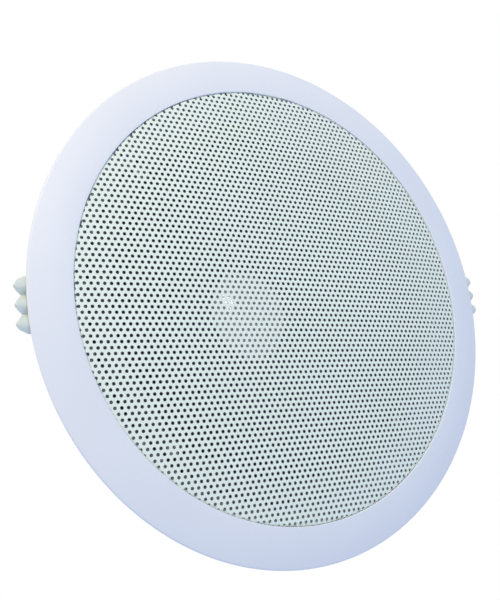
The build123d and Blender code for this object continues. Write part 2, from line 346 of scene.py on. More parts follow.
def grain_group():
    """Tone from slow and fine noise, and a height from the fine noise alone."""
    ins = [("Vector", "NodeSocketVector", None), ("Fine Scale", "NodeSocketFloat", 2000.0),
           ("Drift Scale", "NodeSocketFloat", 30.0), ("Fine Share", "NodeSocketFloat", 0.3)]
    tree, start, end = group("surface_grain", "ShaderNodeTree", ins, pattern_outs)
    fine = add(tree, "ShaderNodeTexNoise", {"Vector": start.outputs["Vector"], "Scale": start.outputs["Fine Scale"],
                                            "Detail": 3.0, "Roughness": 0.6})
    drift = add(tree, "ShaderNodeTexNoise", {"Vector": start.outputs["Vector"], "Detail": 4.0,
                                             "Scale": start.outputs["Drift Scale"]})
    tone = add(tree, "ShaderNodeMix", {"Factor": start.outputs["Fine Share"], "A": drift.outputs["Fac"],
                                       "B": fine.outputs["Fac"]})
    tree.links.new(tone.outputs["Result"], end.inputs["Tone"])
    tree.links.new(fine.outputs["Fac"], end.inputs["Height"])
    return tree


def lathe_lines_group():
    """Fine circles about the axis, uneven in strength."""
    ins = [("Vector", "NodeSocketVector", None), ("Lines", "NodeSocketFloat", 9000.0)]
    tree, start, end = group("lathe_lines", "ShaderNodeTree", ins, pattern_outs)
    place = start.outputs["Vector"]
    level = add(tree, "ShaderNodeSeparateXYZ", {"Vector": place}).outputs["Z"]
    rings = add(tree, "ShaderNodeCombineXYZ", {"X": axis_distance(tree, place), "Y": level})
    lines = add(tree, "ShaderNodeTexNoise", {"Vector": rings.outputs["Vector"], "Scale": start.outputs["Lines"],
                                             "Detail": 2.0})
    tree.links.new(lines.outputs["Fac"], end.inputs["Tone"])
    tree.links.new(lines.outputs["Fac"], end.inputs["Height"])
    return tree


surface_grain = grain_group()
lathe_lines = lathe_lines_group()
print("shader groups:", surface_grain.name, lathe_lines.name)

# %% [markdown]
# ## Materials
# Each finish is a Principled shader in its own material. Its colour drifts between two close tones, and its bump
# comes from the same grain, so no surface is one flat colour. Patterns read Object coordinates, which are the
# frame's own metres because every piece sits at the origin.


# %% Materials
bump_depth = 0.04 * MM
tone_range = (0.3, 0.7)  # the part of a pattern's values over which the colour runs from one tone to the other


def finish(name, tones, roughness, bump=0.1, fine=2000.0, drift=30.0, share=0.3, metallic=0.0, pattern=None):
    """Material whose colour runs between two tones by a shared pattern group, which also gives the bump."""
    material = bpy.data.materials.new(name)
    material.use_nodes = True
    tree = material.node_tree
    shader = tree.nodes["Principled BSDF"]
    place = add(tree, "ShaderNodeTexCoord").outputs["Object"]
    scales = {"Lines": fine} if pattern else {"Fine Scale": fine, "Drift Scale": drift, "Fine Share": share}
    used = add(tree, "ShaderNodeGroup", {"Vector": place, **scales}, node_tree=pattern or surface_grain)
    ramp = add(tree, "ShaderNodeValToRGB", {"Fac": used.outputs["Tone"]})
    for element, position, tone in zip(ramp.color_ramp.elements, tone_range, tones):
        element.position = position
        element.color = (*tone, 1)
    tree.links.new(ramp.outputs["Color"], shader.inputs["Base Color"])
    relief = add(tree, "ShaderNodeBump", {"Strength": bump, "Distance": bump_depth, "Height": used.outputs["Height"]})
    tree.links.new(relief.outputs["Normal"], shader.inputs["Normal"])
    shader.inputs["Roughness"].default_value = roughness
    shader.inputs["Metallic"].default_value = metallic
    finishes[name] = material
    return material


finish("bezel_plastic", ((0.80, 0.82, 0.875), (0.83, 0.85, 0.895)), 0.42, bump=0.12, fine=1500)
finish("grille_paint", ((0.84, 0.915, 0.81), (0.87, 0.935, 0.85)), 0.5, bump=0.2, fine=1800)
finish("clip_plastic", ((0.68, 0.735, 0.68), (0.75, 0.805, 0.75)), 0.45, bump=0.1, fine=1500)
finish("basket_paint", ((0.016, 0.016, 0.018), (0.028, 0.028, 0.030)), 0.38, bump=0.25, fine=900)
finish("gasket_foam", ((0.17, 0.17, 0.17), (0.25, 0.25, 0.245)), 0.9, bump=0.6, fine=1400, share=0.8)
finish("cone_paper", ((0.034, 0.042, 0.058), (0.062, 0.074, 0.098)), 0.85, bump=0.5, fine=700, share=0.7)
finish("surround_foam", ((0.042, 0.050, 0.066), (0.066, 0.078, 0.102)), 0.7, bump=0.4, fine=1600)
finish("cap_foil", ((0.74, 0.83, 0.90), (0.82, 0.91, 0.97)), 0.13, bump=0.05, fine=2500,
                  metallic=1.0, pattern=lathe_lines)
finish("spider_cloth", ((0.42, 0.25, 0.07), (0.62, 0.42, 0.15)), 0.85, bump=0.6, fine=1300, share=0.8)
finish("former_film", ((0.36, 0.17, 0.04), (0.46, 0.24, 0.07)), 0.3, bump=0.05)
finish("coil_copper", ((0.55, 0.24, 0.11), (0.68, 0.33, 0.17)), 0.3, bump=0.1, metallic=1.0)
finish("motor_steel", ((0.46, 0.45, 0.40), (0.60, 0.58, 0.50)), 0.34, bump=0.15, fine=5000,
                     metallic=1.0, pattern=lathe_lines)
finish("magnet_ferrite", ((0.028, 0.028, 0.03), (0.06, 0.06, 0.063)), 0.62, bump=0.4, fine=900,
                        share=0.6)
finish("board_fibre", ((0.20, 0.09, 0.035), (0.30, 0.15, 0.06)), 0.6, bump=0.3, fine=1200, share=0.6)
finish("tab_brass", ((0.62, 0.56, 0.42), (0.74, 0.69, 0.55)), 0.3, bump=0.08, metallic=1.0)
finish("lead_braid", ((0.50, 0.26, 0.13), (0.72, 0.42, 0.24)), 0.42, bump=0.8, fine=2600, share=0.9,
                    metallic=1.0)
finish("screw_zinc", ((0.50, 0.50, 0.49), (0.64, 0.64, 0.62)), 0.3, bump=0.1, metallic=1.0)
finish("pin_steel", ((0.54, 0.54, 0.55), (0.66, 0.66, 0.67)), 0.25, bump=0.08, metallic=1.0)
finish("spring_steel", ((0.42, 0.42, 0.43), (0.56, 0.56, 0.57)), 0.32, bump=0.1, metallic=1.0)


wall_lean = 0.6  # a face is a hole's wall when its normal stands less upright than this


def bare_cuts_and_painted_shade(material, limit, steel):
    """Shows bare steel on the walls of the punched holes, which the paint on the flat sheet doesn't reach, darkened
    with painted shade.
    """
    tree = material.node_tree
    shader = tree.nodes["Principled BSDF"]
    paint = shader.inputs["Base Color"].links[0].from_socket
    place = add(tree, "ShaderNodeTexCoord").outputs["Object"]
    inside = maths(tree, "LESS_THAN", axis_distance(tree, place), limit)
    normal = add(tree, "ShaderNodeNewGeometry").outputs["True Normal"]
    upright = add(tree, "ShaderNodeSeparateXYZ", {"Vector": normal}).outputs["Z"]
    wall = maths(tree, "LESS_THAN", maths(tree, "ABSOLUTE", upright), wall_lean)
    cut = maths(tree, "MULTIPLY", wall, inside)
    mixed = add(tree, "ShaderNodeMix", {0: cut, 6: paint, 7: (*steel, 1)}, data_type="RGBA")
    tree.links.new(mixed.outputs[2], shader.inputs["Base Color"])


painted_edge = 1.5
# the hole walls' colour is bare cut steel darkened with painted shade, so that the holes look deep and dark
shaded_bare_steel = (0.13, 0.16, 0.21)
bare_cuts_and_painted_shade(finishes["grille_paint"], (grille_r - painted_edge) * MM, shaded_bare_steel)
print("materials:", len(bpy.data.materials))

# %% [markdown]
# ## Perforated grille
# The real grille is sheet steel, punched with round holes in staggered rows and then pressed into a shallow dome
# with a turned-back skirt. The same order works here. Cutting five thousand holes with booleans would be slow, so
# the sheet is made of what the holes leave standing: one web around one hole, which a Geometry Nodes tree repeats
# in staggered rows, welds and gives thickness. A formula then presses the flat blank.


# %% One web of the perforated sheet
hole_pitch = 2.5
hole_diameter = 1.4
hole_sides = 8


def web_cell(pitch, hole_r):
    """Faces that join one eight-sided hole to its neighbours at 0, 60 and 120 degrees."""
    row_step = pitch * math.sqrt(3) / 2
    centres = {"here": (0, 0), "right": (pitch, 0), "above_right": (pitch / 2, row_step),
               "above_left": (-pitch / 2, row_step)}
    webs = [
        [("here", 7), ("right", 4), ("right", 3), ("here", 0)],
        [("here", 0), ("above_right", 5), ("above_right", 4), ("here", 1)],
        [("here", 2), ("above_left", 7), ("above_left", 6), ("here", 3)],
        [("here", 0), ("right", 3), ("above_right", 6), ("above_right", 5)],
        [("here", 1), ("above_right", 4), ("above_left", 7), ("here", 2)],
    ]
    corners = sorted({corner for web in webs for corner in web})
    points = []
    for hole, side in corners:
        angle = math.tau * (side + 0.5) / hole_sides
        x, y = centres[hole]
        points.append((x + hole_r * math.cos(angle), y + hole_r * math.sin(angle), 0))
    return points, [tuple(corners.index(corner) for corner in web) for web in webs]


web = web_cell(hole_pitch, hole_diameter / 2)
print("web of one hole:", len(web[1]), "faces")


# %% Punched blank as a node tree
def ended(tree, end, geometry, material):
    """Ends a tree in real meshes with their material, because the export drops instances."""
    solid = add(tree, "GeometryNodeRealizeInstances", {"Geometry": geometry})
    painted = add(tree, "GeometryNodeSetMaterial", {"Geometry": solid.outputs["Geometry"], "Material": material})
    tree.links.new(painted.outputs["Geometry"], end.inputs["Geometry"])
    return tree


def punched_blank_tree():
    """Web cells repeated in staggered rows over a round blank on z = 0, with the thickness to +Z."""
    ins = [("Web", "NodeSocketGeometry", None), ("Blank Radius", "NodeSocketFloat", 0.1),
           ("Pitch", "NodeSocketFloat", 0.0025), ("Rows", "NodeSocketInt", 90),
           ("Row Turn", "NodeSocketFloat", 0.0), ("First Hole", "NodeSocketVector", None),
           ("Thickness", "NodeSocketFloat", 0.0008), ("Finish", "NodeSocketMaterial", None)]
    tree, start, end = group("punched_blank", "GeometryNodeTree", ins, [("Geometry", "NodeSocketGeometry")])
    value = start.outputs
    gaps = maths(tree, "SUBTRACT", value["Rows"], 1.0)
    row_step = maths(tree, "MULTIPLY", value["Pitch"], math.sqrt(3) / 2)
    rows = add(tree, "GeometryNodeMeshGrid", {
        "Size X": maths(tree, "MULTIPLY", gaps, value["Pitch"]), "Size Y": maths(tree, "MULTIPLY", gaps, row_step),
        "Vertices X": value["Rows"], "Vertices Y": value["Rows"]})
    index = add(tree, "GeometryNodeInputIndex").outputs["Index"]
    odd = maths(tree, "MODULO", maths(tree, "MODULO", index, value["Rows"]), 2.0)
    stagger = maths(tree, "MULTIPLY", maths(tree, "ADD", maths(tree, "MULTIPLY", odd, 0.5), 0.25), value["Pitch"])
    along_row = add(tree, "ShaderNodeCombineXYZ", {"X": stagger}).outputs["Vector"]
    shift = add(tree, "ShaderNodeVectorMath", {0: along_row, 1: value["First Hole"]}, operation="ADD")
    staggered = add(tree, "GeometryNodeSetPosition", {"Geometry": rows.outputs["Mesh"],
                                                     "Offset": shift.outputs["Vector"]})
    place = add(tree, "GeometryNodeInputPosition").outputs["Position"]
    distance = add(tree, "ShaderNodeVectorMath", {0: place}, operation="LENGTH").outputs["Value"]
    limit = maths(tree, "SUBTRACT", value["Blank Radius"], value["Pitch"])
    outside = add(tree, "FunctionNodeCompare", {0: distance, 1: limit}, data_type="FLOAT", operation="GREATER_THAN")
    kept = add(tree, "GeometryNodeDeleteGeometry",
               {"Geometry": staggered.outputs["Geometry"], "Selection": outside.outputs["Result"]}, domain="POINT")
    webs = add(tree, "GeometryNodeInstanceOnPoints", {"Points": kept.outputs["Geometry"], "Instance": value["Web"]})
    loose = add(tree, "GeometryNodeRealizeInstances", {"Geometry": webs.outputs["Instances"]})
    face = add(tree, "GeometryNodeMergeByDistance", {"Geometry": loose.outputs["Geometry"], "Distance": WELD})
    turn_z = add(tree, "ShaderNodeCombineXYZ", {"Z": value["Row Turn"]}).outputs["Vector"]
    turned = add(tree, "GeometryNodeTransform", {"Geometry": face.outputs["Geometry"], "Rotation": turn_z})
    upright = add(tree, "ShaderNodeCombineXYZ", {"Z": value["Thickness"]}).outputs["Vector"]
    pushed = add(tree, "GeometryNodeExtrudeMesh", {"Mesh": turned.outputs["Geometry"], "Offset": upright,
                                                  "Offset Scale": 1.0, "Individual": False})
    front = add(tree, "GeometryNodeFlipFaces", {"Mesh": turned.outputs["Geometry"]})
    both = add(tree, "GeometryNodeJoinGeometry")
    tree.links.new(front.outputs["Mesh"], both.inputs["Geometry"])
    tree.links.new(pushed.outputs["Mesh"], both.inputs["Geometry"])
    closed = add(tree, "GeometryNodeMergeByDistance", {"Geometry": both.outputs["Geometry"], "Distance": WELD})
    return ended(tree, end, closed.outputs["Geometry"], value["Finish"])


def grown(obj, tree, **values):
    """Runs a node tree on an object with the named inputs, and keeps the result as a plain mesh."""
    modifier = obj.modifiers.new(tree.name, "NODES")
    modifier.node_group = tree
    sockets = {item.name: item.identifier for item in tree.interface.items_tree if item.in_out == "INPUT"}
    for name, value in values.items():
        modifier[sockets[name.replace("_", " ")]] = value
    return baked(obj)


row_turn = 2.5
first_hole = (0.71, 0.89, 0.0)
grille_sheet = 0.3
grille_bend = 0.5
grille_dome = 3.1
skirt_height = ledge_z - (grille_apex + grille_dome) - grille_bend
flat_r = grille_r - grille_bend
blank_r = flat_r + grille_bend * math.pi / 2 + skirt_height
grille = mesh_object("grille_sheet", *web)
grown(grille, punched_blank_tree(), Blank_Radius=blank_r * MM, Pitch=hole_pitch * MM,
      Row_Turn=math.radians(row_turn), First_Hole=Vector(first_hole) * MM, Thickness=grille_sheet * MM,
      Finish=finishes["grille_paint"])
print(f"blank radius {blank_r:.2f} mm, {len(grille.data.polygons)} faces")


# %% Press the blank into a pan
dome_bow = 1.525  # share of the dome that rises evenly from its edge
dome_shoulder = 1.6  # share that rises mostly near its edge
punch_crease = 60


def press(obj):
    """Moves a flat blank's points onto the pan: a dome, a bend and a straight skirt."""
    mesh = obj.data
    points = np.zeros(len(mesh.vertices) * 3)
    mesh.vertices.foreach_get("co", points)
    points = points.reshape(-1, 3) / MM
    along = np.hypot(points[:, 0], points[:, 1])
    away = points[:, :2] / np.maximum(along, 1e-6)[:, None]
    depth = points[:, 2]
    edge_z = ledge_z - skirt_height - grille_bend
    share = np.minimum(along / flat_r, 1)
    dome_z = edge_z - dome_bow * (1 - share**2) - dome_shoulder * (1 - share**4)
    slope = np.where(along < flat_r, (2 * dome_bow * share + 4 * dome_shoulder * share**3) / flat_r, 0)
    angle = np.clip((along - flat_r) / grille_bend, 0, math.pi / 2)
    skirt = np.maximum(along - flat_r - grille_bend * math.pi / 2, 0)
    radius = np.minimum(along, flat_r) + grille_bend * np.sin(angle)
    level = dome_z + grille_bend * (1 - np.cos(angle)) + skirt
    lean = np.hypot(1, slope)
    radius += depth * (-np.sin(angle) - slope / lean * (angle == 0))
    level += depth * np.where(angle == 0, 1 / lean, np.cos(angle))
    mesh.vertices.foreach_set("co", (np.column_stack([away * radius[:, None], level]) * MM).ravel())
    mesh.update()


grille.data.shade_smooth()
grille.data.set_sharp_from_angle(angle=math.radians(punch_crease))
press(grille)
dress(grille, "housing", "grille_paint", "grille", crease=None)

# %% [markdown]
# ## Rings of copies and swept wire
# Ribs, bosses and screws stand in rings about the axis, so one node tree places copies of a shape on a circle and
# leaves out those that a clip would meet. Springs and leads are wire, so a second tree sweeps a circle along a path.


# %% Node trees for rings and wire
def ring_tree():
    """Copies of a shape on a circle, each turned to face outwards."""
    ins = [("Shape", "NodeSocketGeometry", None), ("Count", "NodeSocketInt", 4), ("Radius", "NodeSocketFloat", 0.1),
           ("First Angle", "NodeSocketFloat", 0.0), ("Clip Gap", "NodeSocketFloat", 0.0),
           ("Finish", "NodeSocketMaterial", None)]
    tree, start, end = group("ring_of_copies", "GeometryNodeTree", ins, [("Geometry", "NodeSocketGeometry")])
    value = start.outputs
    index = add(tree, "GeometryNodeInputIndex").outputs["Index"]
    step = maths(tree, "DIVIDE", math.tau, value["Count"])
    angle = maths(tree, "ADD", value["First Angle"], maths(tree, "MULTIPLY", index, step))
    x = maths(tree, "MULTIPLY", maths(tree, "COSINE", angle), value["Radius"])
    y = maths(tree, "MULTIPLY", maths(tree, "SINE", angle), value["Radius"])
    spot = add(tree, "ShaderNodeCombineXYZ", {"X": x, "Y": y}).outputs["Vector"]
    points = add(tree, "GeometryNodePoints", {"Count": value["Count"], "Position": spot})
    clear = add(tree, "FunctionNodeCompare", {0: maths(tree, "ABSOLUTE", y), 1: value["Clip Gap"]},
                data_type="FLOAT", operation="GREATER_EQUAL")
    facing = add(tree, "ShaderNodeCombineXYZ", {"Z": angle}).outputs["Vector"]
    copies = add(tree, "GeometryNodeInstanceOnPoints", {
        "Points": points.outputs["Points"], "Selection": clear.outputs["Result"], "Instance": value["Shape"],
        "Rotation": facing})
    return ended(tree, end, copies.outputs["Instances"], value["Finish"])


def wire_tree():
    """Round wire swept along the edges of a path, with closed ends."""
    ins = [("Path", "NodeSocketGeometry", None), ("Wire Radius", "NodeSocketFloat", 0.0005),
           ("Sides", "NodeSocketInt", 14), ("Finish", "NodeSocketMaterial", None)]
    tree, start, end = group("swept_wire", "GeometryNodeTree", ins, [("Geometry", "NodeSocketGeometry")])
    value = start.outputs
    line = add(tree, "GeometryNodeMeshToCurve", {"Mesh": value["Path"]})
    section = add(tree, "GeometryNodeCurvePrimitiveCircle", {"Resolution": value["Sides"],
                                                            "Radius": value["Wire Radius"]})
    swept = add(tree, "GeometryNodeCurveToMesh", {"Curve": line.outputs["Curve"],
                                                 "Profile Curve": section.outputs["Curve"], "Fill Caps": True})
    return ended(tree, end, swept.outputs["Mesh"], value["Finish"])


ring_of_copies = ring_tree()
swept_wire = wire_tree()


def wire(name, points, radius, slot, sides=14):
    """Wire along a list of points in millimetres."""
    path = mesh_object(name, points, [], [(i, i + 1) for i in range(len(points) - 1)])
    return close_up(grown(path, swept_wire, Wire_Radius=radius * MM, Sides=sides, Finish=finishes[slot]))


print("node trees:", [tree.name for tree in bpy.data.node_groups if tree.type == "GEOMETRY"])

# %% [markdown]
# ## Bezel
# The bezel is one white moulding. Its face is a ring with a gentle bow, and behind it a barrel goes through the
# ceiling and a well carries the driver. The ring is turned from one outline. Ribs in the hollow back, screw bosses
# and the clips' ears are then welded on, and the pin bores and the rests under the clips are cut.

# %% Turn the bezel
bezel_wall = 2.75
opening_r = grille_r + 0.4
mouth_r = grille_r + 0.12
flange_drop = -levels("bezel")[0]
rim_drop = 1.1
face_bow = 0.6
barrel_r = opening_r + bezel_wall
barrel_height = 5.0
floor_z = basket_z + 1.0
floor_back = floor_z + bezel_wall
well_r = driver_r + 1.5
land_r = barrel_r + 3.0
lip_r = flange_r - 4.6
hollow_z = -1.4
throat_r = driver_r - 15.5
face = bowed((mouth_r, -flange_drop + 0.3), (flange_r, -rim_drop), -face_bow, 14)
bezel_outline = rounded(
    [(face[0].x, face[0].y, 0.25)]
    + [(p.x, p.y, 0) for p in face[1:-1]]
    + [(face[-1].x, face[-1].y, 0.9), (flange_r - 0.6, 0, 0.3), (lip_r, 0, 0.3), (lip_r, hollow_z, 0.4),
       (land_r, hollow_z, 0.4), (land_r, 0, 0.3), (barrel_r, 0, 0), (barrel_r, barrel_height, 0.8),
       (well_r + bezel_wall, floor_back, 1.2), (throat_r + 3, floor_back, 0.6), (throat_r + 3, floor_z, 0.3),
       (well_r, floor_z, 0.8), (grille_r - 1.8, ledge_z, 0.3), (mouth_r, ledge_z, 0)])
bezel = lathe("bezel_moulding", bezel_outline, steps=240)
print("bezel outline points:", len(bezel_outline))

# %% Weld the ribs, bosses and ears, and cut the bores
rib_count = 24
rib_width = 1.6
rib_top = -0.25
rib_middle = (land_r + lip_r) / 2
rib_reach = lip_r - land_r + 1.2
clip_half = 11.5
rest_depth = 0.4
boss_height = 6.0
screw_circle = driver_r - 5.0
screw_turn = math.radians(45)
pilot_r = 2.05
boss_foot_r = 4.4
boss_top_r = 4.0
ear_radius = 3.8
ear_inner = 8.0
ear_outer = 10.5
pin_r = 1.5
pin_bore_r = pin_r + 0.05
sunk = 0.4  # what is welded on starts this far inside the moulding
past = 1.0  # a cutter reaches this far past what it cuts
hands = ((1, "right"), (-1, "left"))


def at_screws(obj, slot):
    """Four copies of a shape, one at each screw of the driver."""
    return grown(obj, ring_of_copies, Count=4, Radius=screw_circle * MM, First_Angle=screw_turn,
                 Finish=finishes[slot])


rib = prism("bezel_ribs", rectangle(both_ways(rib_reach / 2), both_ways(rib_width / 2)), hollow_z - sunk, rib_top)
grown(rib, ring_of_copies, Count=rib_count, Radius=rib_middle * MM, First_Angle=math.pi / rib_count,
      Clip_Gap=(clip_half + rib_width) * MM, Finish=finishes["bezel_plastic"])
boss_outline = rounded([(pilot_r, -2 * sunk, 0), (boss_foot_r, -2 * sunk, 0), (boss_top_r, boss_height, 0.5),
                        (pilot_r, boss_height, 0)])
boss = lathe("bezel_bosses", boss_outline, steps=40)
boss.data.transform(Matrix.Translation((0, 0, floor_back * MM)))
pilot = prism("pilot", circle(0, 0, pilot_r, 32), floor_z - past, floor_back + past / 2)


def ear(side, low, high):
    """Upright ear around the clip's pin, widened to its foot on the well's sloping wall."""
    bm = bmesh.new()
    foot = [(well_r, floor_back - bezel_wall / 2), ((well_r + barrel_r) / 2, (floor_z + barrel_height) / 2)]
    for x, z in circle(pivot_r, pivot_z, ear_radius) + foot:
        for y in (low, high):
            bm.verts.new((side * x * MM, y * MM, z * MM))
    bmesh.ops.convex_hull(bm, input=bm.verts)
    bmesh.ops.dissolve_limit(bm, angle_limit=math.radians(1), verts=bm.verts, edges=bm.edges)
    made = mesh_object("ear", [], [])
    bm.to_mesh(made.data)
    bm.free()
    return eased(close_up(made), width=0.35, angle=60)


carve(bezel, "UNION", rib, at_screws(boss, "bezel_plastic"))
for side, _ in hands:
    carve(bezel, "UNION", ear(side, ear_inner, ear_outer), ear(side, -ear_outer, -ear_inner))
    bore = prism("bore", circle(side * pivot_r, pivot_z, pin_bore_r, 32), *both_ways(2 * ear_outer - past), "Y")
    rest_x = sorted((side * (lip_r - past), side * (flange_r + 2 * past)))
    rest = prism("rest", rectangle(rest_x, both_ways(clip_half)), -rest_depth, 2 * past)
    carve(bezel, "DIFFERENCE", bore, rest)
carve(bezel, "DIFFERENCE", at_screws(pilot, "bezel_plastic"))
dress(bezel, "housing", "bezel_plastic", "bezel", crease=28)

# %% [markdown]
# ## Spring clips
# Each clip is a bent arm with a hub on a steel pin, and three teeth that bite the ceiling board. The arm's side
# view and its toothed plan are two prisms. What both share is the arm, and the hub, bore and spring's window are
# welded on and cut. A wound spring sits on the pin, with one leg on the bezel and one on the arm.

# %% Clip arms
arm_thickness = 2.4
clip_width = 21.0
hub_radius = 3.0
hub_half = 7.5
tooth_pitch = 7.0
tooth_count = 3
tooth_depth = 2.7
tooth_crown = 1.7
crown_sunk = 0.03
crown_start = 2.5
shoulder_half = 0.27 * tooth_pitch
corner_back = 1.6
tip_r = flange_r + 3.5
elbow_r = land_r + 2.7
foot_z = arm_thickness / 2
swing_r = ear_radius + 1.5
spring_half = 3.2
spring_window = 8.0


def offset_line(points, distance):
    """Bent line moved sideways to its left, with its corners mitred."""
    outline = sheet([tuple(p) for p in points], abs(distance))
    moved = outline[len(points):][::-1]
    return moved if distance < 0 else [tuple(2 * Vector(p) - Vector(q)) for p, q in zip(points, moved)]


def crown_tool(steps=12):
    """What is taken off the front of the teeth to leave each one rounded over its width."""
    count = tooth_count * steps
    half = clip_width / 2
    front = [(half - clip_width * i / count, 2 * (i % steps) / steps - 1) for i in range(count + 1)]
    outline = [(-half - past, -5 * past), (half + past, -5 * past), (half + past, tooth_crown)]
    outline += [(y, tooth_crown * across**2 - crown_sunk) for y, across in front] + [(-half - past, tooth_crown)]
    tool = prism("crown", outline, -tip_r - 2 * past, crown_start - flange_r, "Y")
    tool.data.transform(Matrix.Rotation(math.pi / 2, 4, "Z"))
    return tool


def on_pin(name, radius, low, high, steps=48):
    """Round bar about the right clip's pin."""
    return prism(name, circle(pivot_r, pivot_z, radius, steps), low, high, "Y")


def clip_arm(name, side):
    """Dog-leg arm from its hub on the pin to three teeth past the flange."""
    line = [(pivot_r, pivot_z), (elbow_r, foot_z), (tip_r, foot_z)]
    above = offset_line(line, arm_thickness / 2)
    below = offset_line(line, -arm_thickness / 2)
    corners = [(*below[0], 0), (*below[1], 0.6), (*below[2], 0.9), (*above[2], 0.9), (*above[1], 2.2), (*above[0], 0)]
    half = clip_width / 2
    arm = prism(name, rounded(corners, 6), *both_ways(half), "Y")
    root = tip_r - tooth_depth
    shoulder = root + tooth_depth / 2
    plan = [(pivot_r - 5 * past, -half, 0)]
    for i in range(tooth_count):
        middle = -half + (i + 0.5) * tooth_pitch
        plan.append((root - (0 if i else corner_back), middle - tooth_pitch / 2, 0))
        plan.append((shoulder, middle - shoulder_half, 0.8))
        plan.append((tip_r, middle, 0.7))
        plan.append((shoulder, middle + shoulder_half, 0.8))
    plan += [(root - corner_back, half, 0), (pivot_r - 5 * past, half, 0)]
    carve(arm, "INTERSECT", prism("plan", rounded(plan, 6), -5 * past, 30 * past))
    for low, high in ((hub_half, clip_width), (-clip_width, -hub_half)):
        carve(arm, "DIFFERENCE", on_pin("swing", swing_r, low, high))
    carve(arm, "UNION", on_pin("hub", hub_radius, *both_ways(hub_half)))
    carve(arm, "DIFFERENCE", on_pin("window", spring_window, *both_ways(spring_half), 64),
          on_pin("bore", pin_bore_r, *both_ways(clip_width), 32))
    carve(eased(arm, width=0.5, angle=35, segments=4), "DIFFERENCE", crown_tool())
    if side < 0:
        arm.data.transform(Matrix.Rotation(math.pi, 4, "Z"))
    return arm


for side, where in hands:
    dress(clip_arm(f"clip_arm_{where}_moulding", side), f"clip_{where}", "clip_plastic", f"clip_arm_{where}",
          crease=35)

# %% Clip pins and wound springs
spring_wire = 1.0
spring_turns = 5
floor_leg = 6.5
arm_leg = 11.0
coil_r = pin_r + 0.4 + spring_wire / 2
leg_y = spring_half - 0.7
pin_half = ear_outer + 0.5


def tangent(end):
    """Angle on the coil at which a straight leg to an outside point leaves it."""
    dx, dz = end[0] - pivot_r, end[1] - pivot_z
    return math.atan2(dz, dx) + math.acos(coil_r / math.hypot(dx, dz))


def spring_path(side):
    """Leg on the well's floor, close turns about the pin, and a leg on the arm."""
    along = Vector((elbow_r - pivot_r, foot_z - pivot_z)).normalized()
    outward = Vector((-along.y, along.x))
    lift = spring_wire / 2 + 0.05
    on_floor = (pivot_r - floor_leg, floor_back + lift)
    on_arm = Vector((pivot_r, pivot_z)) + along * arm_leg + outward * (arm_thickness / 2 + lift)
    first, last = tangent(on_floor), tangent(on_arm)
    sweep = (last - first) % math.tau + math.tau * spring_turns
    steps = 24 * spring_turns
    coil = [(pivot_r + coil_r * math.cos(first + sweep * t), -leg_y + 2 * leg_y * t,
             pivot_z + coil_r * math.sin(first + sweep * t)) for t in (i / steps for i in range(steps + 1))]
    path = [(on_floor[0], -leg_y, on_floor[1])] + coil + [(on_arm.x, leg_y, on_arm.y)]
    return [(side * x, side * y, z) for x, y, z in path]


for side, where in hands:
    spring = wire(f"clip_spring_{where}_wire", spring_path(side), spring_wire / 2, "spring_steel")
    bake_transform(spring)
    dress(spring, None, "spring_steel", f"clip_spring_{where}", crease=50)
    pin = prism(f"clip_pin_{where}_steel", circle(side * pivot_r, pivot_z, pin_r), *both_ways(pin_half), "Y")
    dress(eased(pin, width=0.25), "housing", "pin_steel", f"clip_pin_{where}")

# %% [markdown]
# ## Driver basket
# The basket is pressed from one steel sheet: a flange on the bezel's floor, sloping arms with four windows between
# them, a seat for the spider and a cup that holds the motor. It is turned as a sheet, and the windows are cut
# straight through from the front as a press would. A lug left in one window carries the terminals.

# %% Basket
sheet_steel = 1.0
spider_seat_r = reach("spider") + sheet_steel
seat_inner = spider_seat_r - 7.0
cup_z = plate_z - sheet_steel
cup_hole_r = 16.0
window_inner = spider_seat_r + 3.0
window_outer = throat_r - 4.0
window_half = math.radians(33)
window_steps = 10
window_rounding = 4.0
screw_hole_r = 2.2
lug_half = 6.0
lug_start = spider_seat_r - 1.5
lug_end = window_inner + 16.0
skin = 0.02  # a welded lug stays this far inside the sheet's faces
bend_corners = [(driver_r, basket_z, 0), (throat_r, basket_z, 2.5), (spider_seat_r, spider_z, 2.0),
                (seat_inner, spider_z, 0.8), (seat_inner - 1.0, cup_z, 0.8), (cup_hole_r, cup_z, 0)]
basket = lathe("driver_basket_pressing", sheet(rounded(bend_corners, 6), sheet_steel), steps=192)
arc = [-window_half + 2 * window_half * i / window_steps for i in range(window_steps + 1)]
ends = [window_rounding] + [0] * (window_steps - 1) + [window_rounding]
window_plan = [(window_outer * math.cos(a), window_outer * math.sin(a), end) for a, end in zip(arc, ends)]
window_plan += [(window_inner * math.cos(a), window_inner * math.sin(a), end) for a, end in zip(arc[::-1], ends)]
windows = prism("windows", rounded(window_plan, 6), basket_z + 2 * past, spider_z - past / 2)
grown(windows, ring_of_copies, Count=4, Radius=0.0, Finish=finishes["basket_paint"])
holes = prism("holes", circle(0, 0, screw_hole_r, 32), basket_z - past, floor_z + past)
carve(basket, "DIFFERENCE", windows, at_screws(holes, "basket_paint"))
lug_plan = rounded(rectangle(both_ways(lug_half), (lug_start, lug_end), 0, 0, 1.5, 1.5))
carve(basket, "UNION", prism("lug", lug_plan, spider_z + skin, spider_z + sheet_steel - skin))
dress(basket, "housing", "basket_paint", "driver_basket", crease=30)

# %% Gasket and screws
gasket_inner = surround_r + 0.5
gasket_outer = driver_r - 0.5
gasket_z = levels("driver_gasket")[0]
gap_half = 4.1
gasket_outline = rounded([(gasket_inner, basket_z, 0), (gasket_inner, gasket_z, 0.6), (gasket_outer, gasket_z, 0.6),
                          (gasket_outer, basket_z, 0)])
gasket = lathe("driver_gasket_foam", gasket_outline, steps=192)
for turns in (1, 3):
    bar = prism("bar", rectangle(both_ways(driver_r), both_ways(gap_half)), gasket_z - past, basket_z + past)
    bar.data.transform(Matrix.Rotation(turns * screw_turn, 4, "Z"))
    carve(gasket, "DIFFERENCE", bar)
dress(gasket, "housing", "gasket_foam", "driver_gasket")

